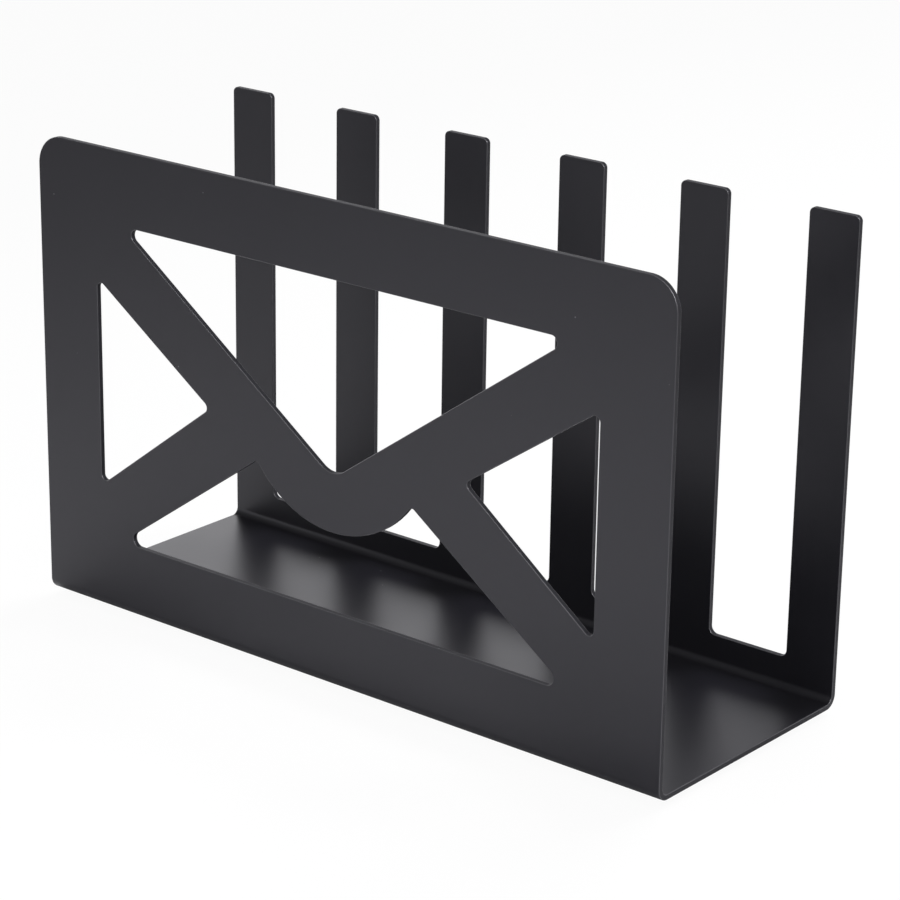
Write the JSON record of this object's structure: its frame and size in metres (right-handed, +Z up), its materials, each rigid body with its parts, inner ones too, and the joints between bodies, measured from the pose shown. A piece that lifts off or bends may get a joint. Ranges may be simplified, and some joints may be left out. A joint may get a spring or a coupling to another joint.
{
  "type": "mail holder",
  "caption": "Upright desk mail holder bent from one steel sheet, with an envelope-pattern front wall, a rear wall of plain uprights and non-slip pads.",
  "frame": {"origin": "on the table, under the middle of the holder, at the foot of the pads", "axes": "+X along the walls, with the cut-out front wall on the -Y side, +Z up"},
  "size_m": [0.25, 0.092, 0.1582],
  "materials": {
    "powder_coat": "matt to satin black powder coat with a very fine texture, on 1.5 mm steel",
    "pad_rubber": "matt black moulded rubber",
    "pad_adhesive": "thin translucent acrylic adhesive"
  },
  "bodies": {
    "root": {"holder_body": "powder_coat", "pad_front_left": "pad_rubber", "pad_front_right": "pad_rubber", "pad_rear_left": "pad_rubber", "pad_rear_right": "pad_rubber", "adhesive_front_left": "pad_adhesive", "adhesive_front_right": "pad_adhesive", "adhesive_rear_left": "pad_adhesive", "adhesive_rear_right": "pad_adhesive"}
  },
  "joints": []
}
